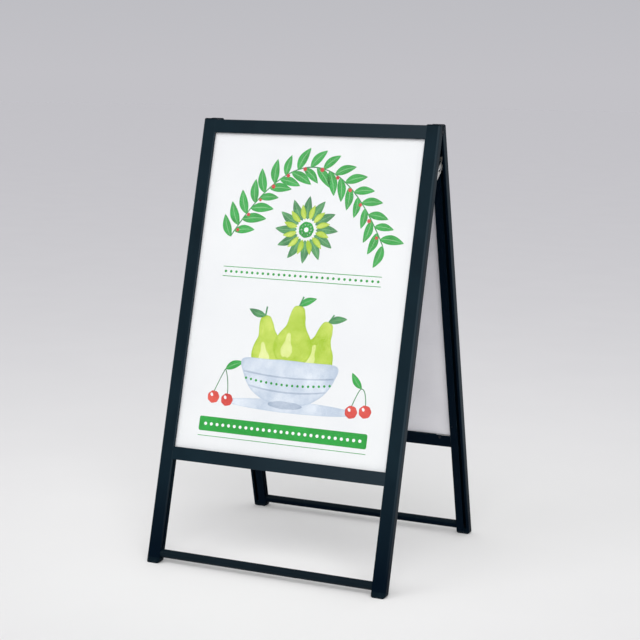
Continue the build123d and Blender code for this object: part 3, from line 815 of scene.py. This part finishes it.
# %% Draw outlines
def smooth_outline(corners, steps):
    """Points on a closed Catmull-Rom curve through the corners."""
    points = []
    count = len(corners)
    for index in range(count):
        before, start, end, after = (Vector(corners[(index + k) % count]) for k in (-1, 0, 1, 2))
        for step in range(steps):
            t = step / steps
            points.append(0.5 * (2 * start + (end - before) * t
                                 + (2 * before - 5 * start + 4 * end - after) * t ** 2
                                 + (3 * start - before - 3 * end + after) * t ** 3))
    return points


def oval(half_width, half_height, points=48):
    """Outline of an ellipse."""
    angles = [2 * math.pi * index / points for index in range(points)]
    return [Vector((half_width * math.cos(angle), half_height * math.sin(angle)))
            for angle in angles]


def moved(outline, x, y, turn=0.0, size=1.0):
    """An outline scaled, turned by degrees and moved, in millimetres."""
    angle = math.radians(turn)
    return [Vector((x + size * (point.x * math.cos(angle) - point.y * math.sin(angle)),
                    y + size * (point.x * math.sin(angle) + point.y * math.cos(angle))))
            for point in outline]


print("a round outline has", len(oval(1, 1)), "points")

# %% Paint a patch
LAYER = 0.015 * MM
# How far out each ring of a patch lies, and its rim value
RINGS = ((1.0, 1.0), (0.97, 0.45), (0.92, 0.12), (0.7, 0.0))
WAVES = 7


def middle_of(outline):
    return sum(outline, Vector((0, 0))) / len(outline)


def wavering(outline, amount):
    """An outline pushed in and out a little, as a brush would leave it."""
    middle = middle_of(outline)
    result = []
    for index, point in enumerate(outline):
        angle = 2 * math.pi * index / len(outline)
        push = amount * (math.sin(WAVES * angle + 1.3) + 0.6 * math.sin((2 * WAVES + 3) * angle))
        result.append(point + (point - middle).normalized() * push)
    return result


def painted(name, outline, layer, finish, waver=0.5, rings=RINGS):
    """A painted patch from an outline in millimetres."""
    outline = wavering(outline, waver)
    middle = middle_of(outline)
    patch = bmesh.new()
    rim = patch.verts.layers.float.new("rim")
    loops = []
    for share, value in rings:
        loop = []
        for point in outline:
            at = middle.lerp(point, share) * MM
            vertex = patch.verts.new((at.x, at.y, layer * LAYER))
            vertex[rim] = value
            loop.append(vertex)
        loops.append(loop)
    centre = patch.verts.new((middle.x * MM, middle.y * MM, layer * LAYER))
    count = len(outline)
    for outer, inner in zip(loops, loops[1:]):
        for index in range(count):
            after = (index + 1) % count
            patch.faces.new((outer[index], outer[after], inner[after], inner[index]))
    for index in range(count):
        patch.faces.new((loops[-1][index], loops[-1][(index + 1) % count], centre))
    return solid_from(patch, name, LAYER, finish)


room = math.floor(INK_ROOM / LAYER)
print("layers are", LAYER / MM, "mm apart, with room for", room, "under the cover")

# %% [markdown]
# ## A leaf, and a Geometry Nodes tree that sets leaves on a stem
# Leaves on a garland, petals on a rosette and beads on a line are all the same job: copies of one
# small piece at even steps along a path, turned to follow it. That is a rule, so one Geometry
# Nodes tree does it. Its inputs are the path, the piece, how many copies, their size, how far they
# turn from the path, and whether every other copy goes to the other side.

# %% The tree that sets copies along a path
SECOND_SIDE_LOWER = 0.3


def copies_along_path():
    tree, given = geometry_tree(
        "copies along a path", Path="Object", Piece="Object", Count="Int", Size="Float",
        Size_Variation="Float", Turn="Float", Turn_Variation="Float", Both_Sides="Float",
        Seed="Int", Finish="Material")
    path, piece = shape_of(tree, given["Path"]), shape_of(tree, given["Piece"])
    points = add(tree, "GeometryNodeCurveToPoints", {"Curve": path, "Count": given["Count"]})
    index = add(tree, "GeometryNodeInputIndex").outputs[0]
    other = calc(tree, "MULTIPLY", calc(tree, "MODULO", index, 2.0), given["Both Sides"])
    hand = calc(tree, "SUBTRACT", 1.0, calc(tree, "MULTIPLY", other, 2.0))
    least = calc(tree, "MULTIPLY", given["Turn Variation"], -1.0)
    wobble = add(tree, "FunctionNodeRandomValue",
                 {2: least, 3: given["Turn Variation"], "Seed": given["Seed"]}).outputs[1]
    angle = calc(tree, "ADD", calc(tree, "MULTIPLY", hand, given["Turn"]), wobble)
    facing = add(tree, "FunctionNodeAlignRotationToVector",
                 {"Vector": points.outputs["Tangent"]}, axis="X", pivot_axis="Z").outputs[0]
    swing = add(tree, "FunctionNodeAxisAngleToRotation", {"Axis": (0, 0, 1), "Angle": angle})
    turned = add(tree, "FunctionNodeRotateRotation",
                 {0: facing, 1: swing.outputs[0]}, rotation_space="LOCAL").outputs[0]
    smallest = calc(tree, "SUBTRACT", 1.0, given["Size Variation"])
    largest = calc(tree, "ADD", 1.0, given["Size Variation"])
    share = add(tree, "FunctionNodeRandomValue",
                {2: smallest, 3: largest, "Seed": calc(tree, "ADD", given["Seed"], 7.0)}).outputs[1]
    size = calc(tree, "MULTIPLY", share, given["Size"])
    # Copies on the second side lie a little lower, so that two leaves never share a plane
    lower = calc(tree, "SUBTRACT", 1.0, calc(tree, "MULTIPLY", other, SECOND_SIDE_LOWER))
    scale = add(tree, "ShaderNodeCombineXYZ", {0: size, 1: size, 2: lower}).outputs[0]
    return set_copies(tree, given["Finish"], Points=points.outputs["Points"], Instance=piece,
                      Rotation=turned, Scale=scale)


COPIES = copies_along_path()
print("tree:", COPIES.name, "with", len(COPIES.nodes), "nodes")

# %% [markdown]
# ## Stencils for the copies
# The leaf is drawn once, 1 unit long, as a grid bent to a pointed oval. It keeps two values that a
# shader can read: how far a point is from the midrib, and how far it is along the leaf. From these
# the leaf ink draws a pale midrib and side veins, so no vein has to be modelled. The dot is a disc.

# %% Draw the leaf and its ink
LEAF_ALONG = 10
LEAF_ACROSS = 4
LEAF_WIDTH = 0.36
LEAF_TIP = 0.012
LEAF_BEND = 0.05
VEINS = 9.0
VEIN_SLANT = 1.6
# How far from a vein's middle it has faded to nothing, and how far it is full
VEIN_FADE = (0.07, 0.02)


def leaf_stencil(name, layer):
    """A leaf of length 1 along x with its stalk end at the origin."""
    leaf = bmesh.new()
    across_layer = leaf.verts.layers.float.new("across")
    along_layer = leaf.verts.layers.float.new("along")
    rim_layer = leaf.verts.layers.float.new("rim")
    rows = []
    for i in range(LEAF_ALONG + 1):
        along = i / LEAF_ALONG
        half = LEAF_WIDTH / 2 * math.sin(math.pi * along ** 0.85) ** 0.9 + LEAF_TIP
        bend = LEAF_BEND * math.sin(math.pi * along)
        row = []
        for j in range(LEAF_ACROSS + 1):
            across = 2 * j / LEAF_ACROSS - 1
            vertex = leaf.verts.new((along, bend + half * across, layer * LAYER))
            vertex[across_layer] = across
            vertex[along_layer] = along
            vertex[rim_layer] = 1.0 if abs(across) == 1 or i in (0, LEAF_ALONG) else 0.0
            row.append(vertex)
        rows.append(row)
    for lower, upper in zip(rows, rows[1:]):
        for j in range(LEAF_ACROSS):
            leaf.faces.new((lower[j], upper[j], upper[j + 1], lower[j + 1]))
    return solid_from(leaf, name, LAYER, INKS["green"])


def leaf_ink(name, thin, deep, vein):
    """Green wash with a pale midrib and side veins, from the leaf's own two values."""
    finish, tree, shader = new_finish(name)
    where = object_place(tree)
    across = add(tree, "ShaderNodeAttribute", attribute_name="across").outputs["Fac"]
    along = add(tree, "ShaderNodeAttribute", attribute_name="along").outputs["Fac"]
    away = calc(tree, "ABSOLUTE", across)
    midrib = ramp(tree, away, *VEIN_FADE)
    slanted = calc(tree, "SUBTRACT", calc(tree, "MULTIPLY", along, VEINS),
                   calc(tree, "MULTIPLY", away, VEIN_SLANT))
    wave = calc(tree, "ABSOLUTE", calc(tree, "SUBTRACT", calc(tree, "FRACT", slanted), 0.5))
    side_veins = calc(tree, "MULTIPLY", ramp(tree, wave, *VEIN_FADE), ramp(tree, away, 0.85, 0.6))
    pool = spread(tree, noise(tree, where, 40.0, 4.0, 0.6))
    base = mixed(tree, pool, thin, deep)
    veins = calc(tree, "MAXIMUM", midrib, calc(tree, "MULTIPLY", side_veins, 0.55))
    base = mixed(tree, calc(tree, "MULTIPLY", veins, 0.8), base, vein)
    dull = spread(tree, noise(tree, where, TOOTH, 2.0), *PRINT_DULL)
    feed(tree, shader, {"Base Color": base, "Roughness": dull})
    return finish


print("leaf grid:", LEAF_ALONG, "by", LEAF_ACROSS, "faces")

# %% Make the stencils
LEAF_INKS = {
    "green": leaf_ink("strong green leaf", colour(34, 174, 66), colour(8, 148, 42),
                      colour(176, 224, 176)),
    "dark": leaf_ink("dark green leaf", colour(86, 164, 96), colour(26, 110, 58),
                     colour(150, 200, 150)),
}
leaf = leaf_stencil("leaf_stencil", 4)
petal = leaf_stencil("petal_stencil", 7)
dot = painted("dot_stencil", oval(1 / MM, 1 / MM, 18), 8, INKS["red"], 0.0, rings=((1.0, 1.0),))
print("leaf faces:", len(leaf.data.polygons), "dot faces:", len(dot.data.polygons))

# %% [markdown]
# ## Paths
# A path is a plain curve object, thrown away once the copies are made. A garland follows an arch,
# a rosette follows a circle and beads follow a straight line.

# %% Make paths, stems and rules
def path_through(points, cyclic=False):
    """A smooth path through points given in millimetres."""
    curve = bpy.data.curves.new("path", "CURVE")
    curve.dimensions = "3D"
    spline = curve.splines.new("POLY")
    spline.points.add(len(points) - 1)
    for place, point in zip(spline.points, points):
        place.co = (point[0] * MM, point[1] * MM, 0, 1)
    spline.use_cyclic_u = cyclic
    return in_scene("path", curve)


def arch(start, crown, end, steps=40):
    """Points of a quadratic curve that leaves start and end towards the crown."""
    start, crown, end = Vector(start), Vector(crown), Vector(end)
    return [start.lerp(crown, t / steps).lerp(crown.lerp(end, t / steps), t / steps)
            for t in range(steps + 1)]


def ribbon(name, points, width, layer, finish):
    """A painted line of even width along points in millimetres."""
    line = bmesh.new()
    line.verts.layers.float.new("rim")
    pairs = []
    for index, point in enumerate(points):
        ahead = Vector(points[min(index + 1, len(points) - 1)])
        behind = Vector(points[max(index - 1, 0)])
        sideways = (ahead - behind).normalized().orthogonal() * width / 2
        pairs.append([line.verts.new(((point[0] + s * sideways.x) * MM,
                                      (point[1] + s * sideways.y) * MM, layer * LAYER))
                      for s in (-1, 1)])
    for (a, b), (c, d) in zip(pairs, pairs[1:]):
        line.faces.new((a, b, d, c))
    return solid_from(line, name, LAYER, finish)


print("an arch has", len(arch((0, 0), (1, 1), (2, 0))), "points")

# %% [markdown]
# ## The poster's design
# From the top: a leafy garland over a rosette, a line of beads, and a bowl of pears above a green
# band. Everything is placed from the sheet's middle and from the lower edge of what shows.
# Pieces of one motif are made here and joined into one object for each frame.

# %% Collect what is painted on one sheet
def finish_motif(side, name, pieces):
    """Joins painted pieces into one object, lays it on the paper and lets it ride on its frame."""
    joined = bmesh.new()
    finishes = []
    for piece in pieces:
        first = len(finishes)
        finishes += piece.data.materials
        before = len(joined.faces)
        joined.from_mesh(piece.data)
        joined.faces.ensure_lookup_table()
        for index in range(before, len(joined.faces)):
            joined.faces[index].material_index += first
    mesh = as_mesh(name, joined)
    for finish in finishes:
        mesh.materials.append(finish)
    for piece in pieces:
        bpy.data.objects.remove(piece)
    motif = in_scene(name, mesh)
    motif.data.transform(ART[side] @ Matrix.Translation((0, SHOWN_FROM, 0)))
    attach(motif, BODIES[side])
    return motif


def copies(path, piece, count, size, finish, turn=0.0, wobble=0.0, both=0.0, vary=0.0, seed=1):
    """Copies of a stencil along a path; size is in millimetres and turns are in degrees."""
    made = grown("copies", COPIES, {
        "Path": path, "Piece": piece, "Count": count, "Size": size * MM, "Size Variation": vary,
        "Turn": math.radians(turn), "Turn Variation": math.radians(wobble), "Both Sides": both,
        "Seed": seed, "Finish": finish})
    bpy.data.objects.remove(path)
    return made


def on_both_frames(*painters):
    """Paints motifs on the front frame's sheet, then on the rear one's."""
    for side in PLACES:
        for painter in painters:
            motif = painter(side)
            print(motif.name, "faces:", len(motif.data.polygons))


print("motifs ride on", list(BODIES.values()))

# %% The garland over a rosette
ROSETTE = Vector((0, 566))
PETALS = 12


def garland(side):
    stem = arch((-206, 538), (0, 908), (206, 538))
    inside = arch((-188, 556), (0, 884), (188, 556))
    return finish_motif(side, f"{side}_garland", [
        ribbon("stem", stem, 3.0, 2, INKS["dark"]),
        copies(path_through(stem), leaf, 34, 58, LEAF_INKS["green"], turn=48, wobble=8, both=1,
               vary=0.15, seed=4),
        copies(path_through(inside), dot, 12, 4.6, INKS["red"], vary=0.2, seed=9),
    ])


def rosette(side):
    ring = moved(oval(26, 26), *ROSETTE)
    bead_ring = moved(oval(13, 13), *ROSETTE)
    return finish_motif(side, f"{side}_rosette", [
        copies(path_through(ring, True), leaf, PETALS, 58, LEAF_INKS["dark"], turn=-90),
        copies(path_through(ring[2:] + ring[:2], True), petal, PETALS, 38, INKS["lime"], turn=-90),
        painted("eye", moved(oval(20, 20), *ROSETTE), 8, INKS["green"]),
        painted("middle", moved(oval(6, 6, 24), *ROSETTE), 9, INKS["white"]),
        copies(path_through(bead_ring, True), dot, 10, 2.2, INKS["white"]),
    ])


on_both_frames(garland, rosette)

# %% [markdown]
# ## A bowl of pears
# The still life is built from back to front: a shadow under the bowl, the pears, their leaves and
# stalks, then the bowl over them. Each pear has a paler patch for its lit side. The bowl's stripes
# are narrow ribbons and its dots are set by the same tree as the leaves.

# %% Paint the bowl of pears
PEAR = ((0, 66), (13, 62), (19, 44), (24, 20), (41, -6), (48, -34), (38, -58), (16, -68), (0, -65),
        (-16, -68), (-38, -58), (-48, -34), (-41, -6), (-24, 20), (-19, 44), (-13, 62))
BOWL = ((-128, 236), (-60, 240), (0, 241), (60, 240), (128, 236), (120, 196), (92, 158), (50, 136),
        (0, 131), (-50, 136), (-92, 158), (-120, 196))
# A pear's middle, turn, size and layer; a cherry's middle and its stalk's upper end; and a leaf's
# stalk end, turn and length
PEARS = ((-66, 282, 13, 1.0, 2), (74, 280, -15, 0.98, 2), (4, 306, -3, 1.08, 4))
CHERRIES = ((-196, 134, -172, 206), (-158, 130, -172, 206), (176, 132, 196, 190),
            (212, 136, 196, 190))
CHERRY_LEAVES = ((-172, 206, 24, 52), (196, 190, 128, 46))


def set_down(stencil, x, y, turn, size, finish):
    """One copy of a stencil, moved and turned, in millimetres and degrees."""
    piece = bpy.data.objects.new("copy", stencil.data.copy())
    piece.data.transform(Matrix.Translation((x * MM, y * MM, 0))
                         @ Matrix.Rotation(math.radians(turn), 4, "Z")
                         @ Matrix.Diagonal((size * MM, size * MM, 1, 1)))
    piece.data.materials[0] = finish
    return piece


def still_life(side):
    pieces = [painted("shadow", moved(oval(176, 15), 14, 128), 1, INKS["sky"])]
    for x, y, turn, size, layer in PEARS:
        pear = smooth_outline(PEAR, 4)
        lit = smooth_outline([(px * 0.3 - 14, py * 0.42 - 26) for px, py in PEAR], 2)
        top = moved([Vector((0, 66)), Vector((7, 88))], x, y, turn, size)
        pieces += [
            painted("pear", moved(pear, x, y, turn, size), layer, INKS["lime"]),
            painted("lit side", moved(lit, x, y, turn, size), layer + 1, INKS["pale"]),
            ribbon("stalk", top, 4.0, layer + 1, INKS["dark"]),
            set_down(leaf, top[0].x, top[0].y, turn + (150 if x < 0 else 28), 48,
                     LEAF_INKS["green" if layer == 4 else "dark"]),
        ]
    edge = arch((-121, 206), (0, 190), (121, 206), 24)
    lower = arch((-104, 172), (0, 152), (104, 172), 24)
    dots = arch((-113, 189), (0, 171), (113, 189), 24)
    pieces += [
        painted("bowl", smooth_outline(BOWL, 5), 6, INKS["sky"]),
        painted("bowl foot", moved(oval(46, 9), 0, 131), 6.5, INKS["slate"]),
        ribbon("upper stripe", edge, 4.0, 7, INKS["slate"]),
        ribbon("lower stripe", lower, 4.0, 7, INKS["slate"]),
        copies(path_through(dots), dot, 17, 3.2, INKS["green"]),
    ]
    for x, y, top_x, top_y in CHERRIES:
        stalk = arch((x, y + 14), ((x + top_x) / 2 + 4, y + 56), (top_x, top_y), 10)
        pieces += [
            ribbon("cherry stalk", stalk, 2.2, 3, INKS["dark"]),
            painted("cherry", moved(oval(16, 15.5, 32), x, y), 4, INKS["red"]),
            painted("gleam", moved(oval(3.4, 4.6, 16), x - 5, y + 5, 30), 5, INKS["white"]),
        ]
    pieces += [set_down(leaf, *leaf_place, LEAF_INKS["green"]) for leaf_place in CHERRY_LEAVES]
    return finish_motif(side, f"{side}_still_life", pieces)


on_both_frames(still_life)

# %% [markdown]
# ## Beads, rules and the green band
# Straight lines hold the design together: two thin rules with beads between them under the
# garland, and a solid green band with white dots below the bowl.

# %% Rule the lines and finish the sheet
def band_outline(half_width, low, high, radius):
    """A rectangle with rounded corners."""
    outline = []
    for corner, (cx, cy) in enumerate(((half_width - radius, high - radius),
                                       (radius - half_width, high - radius),
                                       (radius - half_width, low + radius),
                                       (half_width - radius, low + radius))):
        for step in range(7):
            angle = math.radians(90 * corner + 15 * step)
            outline.append(Vector((cx + radius * math.cos(angle), cy + radius * math.sin(angle))))
    return outline


def lines(side):
    return finish_motif(side, f"{side}_lines", [
        ribbon("upper rule", [(-214, 462), (214, 462)], 1.8, 3, INKS["green"]),
        ribbon("lower rule", [(-214, 438), (214, 438)], 1.8, 3, INKS["green"]),
        copies(path_through([(-206, 450), (206, 450)]), dot, 29, 3.4, INKS["green"]),
        painted("band", band_outline(226, 48, 84, 5), 3, INKS["green"], 0.0),
        copies(path_through([(-208, 66), (208, 66)]), dot, 27, 4.0, INKS["white"]),
        ribbon("foot rule", [(-226, 36), (226, 36)], 1.6, 3, INKS["green"]),
    ])


on_both_frames(lines)
for stencil in (leaf, petal, dot):
    bpy.data.objects.remove(stencil)

# %% [markdown]
# ## Floor and studio light
# The board stands on a pale studio floor that runs on to the horizon. A lamp near the board
# lights such a floor, so it is brightest there and fades to grey far away; here that fade is
# painted on by distance.

# %% Lay the floor
FLOOR_RADIUS = 60.0
FAR_GREY = colour(188, 187, 192)
NEAR_WHITE = colour(253, 253, 252)
FADE_LENGTH = 2.34
FADE_POWER = 1.57

disc = bmesh.new()
bmesh.ops.create_circle(disc, cap_ends=True, segments=96, radius=FLOOR_RADIUS)
floor = in_scene("studio_floor", as_mesh("studio floor", disc))
finish, tree, shader = new_finish("studio floor")
where = object_place(tree)
away = add(tree, "ShaderNodeVectorMath", {0: where}, operation="LENGTH").outputs["Value"]
share = calc(tree, "DIVIDE", FADE_LENGTH, calc(tree, "ADD", away, FADE_LENGTH))
near = calc(tree, "POWER", share, FADE_POWER)
tone = calc(tree, "ADD", near, spread(tree, noise(tree, where, 3.0, 3.0), -0.01, 0.01))
feed(tree, shader, {"Base Color": mixed(tree, tone, FAR_GREY, NEAR_WHITE), "Roughness": 1.0,
                    "Specular IOR Level": 0.0})
floor.data.materials.append(finish)
floor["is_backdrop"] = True
print("floor radius:", FLOOR_RADIUS, "metres")

# %% [markdown]
# ## What surrounds the board
# The world does three jobs, and the Light Path node tells them apart. The eye sees a grey
# backdrop. Light falls on the board from an even sky. A shiny surface mirrors a studio: grey,
# darker in front of the board where nobody lights the room, with a pale screen at its right side,
# which draws the soft bright line along the uprights' rounded corners.

# %% Backdrop, even sky and mirrored studio
SKY_LIGHT = 0.72
HORIZON = colour(195, 194, 199)
SKY_TOP = colour(189, 189, 194)
HORIZON_FADE = 0.06
DARK_STUDIO = colour(70, 72, 76)
DARK_SIDE = (-0.35, -0.93, 0.1)
SCREEN_TONE = colour(215, 216, 220)
SCREEN_SIDE = (0.93, -0.36, 0.0)

world = bpy.data.worlds.new("studio")
world.use_nodes = True
tree = world.node_tree
tree.nodes.clear()
ray = add(tree, "ShaderNodeLightPath").outputs
seen = calc(tree, "MAXIMUM", ray["Is Camera Ray"], ray["Is Transmission Ray"])
direction = add(tree, "ShaderNodeTexCoord").outputs["Generated"]
up = add(tree, "ShaderNodeSeparateXYZ", {0: direction}).outputs["Z"]


def towards(tree, direction, aim, start, end):
    """1 in the direction of aim and 0 away from it."""
    turn = add(tree, "ShaderNodeVectorMath", {0: direction, 1: aim}, operation="DOT_PRODUCT")
    return ramp(tree, turn.outputs["Value"], start, end)


backdrop = mixed(tree, ramp(tree, up, 0.0, HORIZON_FADE), HORIZON, SKY_TOP)
mirrored = mixed(tree, towards(tree, direction, DARK_SIDE, 0.1, 0.9), SKY_TOP, DARK_STUDIO)
mirrored = mixed(tree, towards(tree, direction, SCREEN_SIDE, 0.5, 0.85), mirrored, SCREEN_TONE)
sky = add(tree, "ShaderNodeBackground", {"Color": (1, 1, 1, 1), "Strength": SKY_LIGHT})
eye = add(tree, "ShaderNodeBackground", {"Color": backdrop, "Strength": 1.0})
gloss = add(tree, "ShaderNodeBackground", {"Color": mirrored, "Strength": 1.0})
both = add(tree, "ShaderNodeMixShader", {0: seen, 1: sky.outputs[0], 2: eye.outputs[0]})
every = add(tree, "ShaderNodeMixShader",
            {0: ray["Is Glossy Ray"], 1: both.outputs[0], 2: gloss.outputs[0]})
add(tree, "ShaderNodeOutputWorld", {"Surface": every.outputs[0]})
bpy.context.scene.world = world
print("sky light:", SKY_LIGHT)

# %% [markdown]
# ## Two lamps
# A stronger lamp from the upper right and a weaker one from the upper left model the bars. Both
# are suns with a wide angle, which acts like a large soft box and gives broad soft shadows.

# %% Hang the lamps
# Each lamp's name, the direction it stands in, its strength and its angle in degrees
LAMPS = (
    ("key", (0.36, -0.68, 0.64), 1.20, 45.0),
    ("fill", (-0.38, -0.66, 0.64), 0.55, 45.0),
)
for name, aim, strength, angle in LAMPS:
    sun = bpy.data.lights.new(name, "SUN")
    sun.energy = strength
    sun.angle = math.radians(angle)
    lamp = in_scene(name, sun)
    lamp.rotation_euler = Vector(aim).to_track_quat("Z", "Y").to_euler()
bpy.context.scene.view_settings.view_transform = "Standard"
print("lamps:", [name for name, *_ in LAMPS])

# %% [markdown]
# ## The visible size
# The size of everything visible is measured once more and printed, so that it can be compared
# with the solid model's size printed at the start.

# %% Measure the sizes and finish
low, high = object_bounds()
print("visible size:", [round(side, 4) for side in high - low])
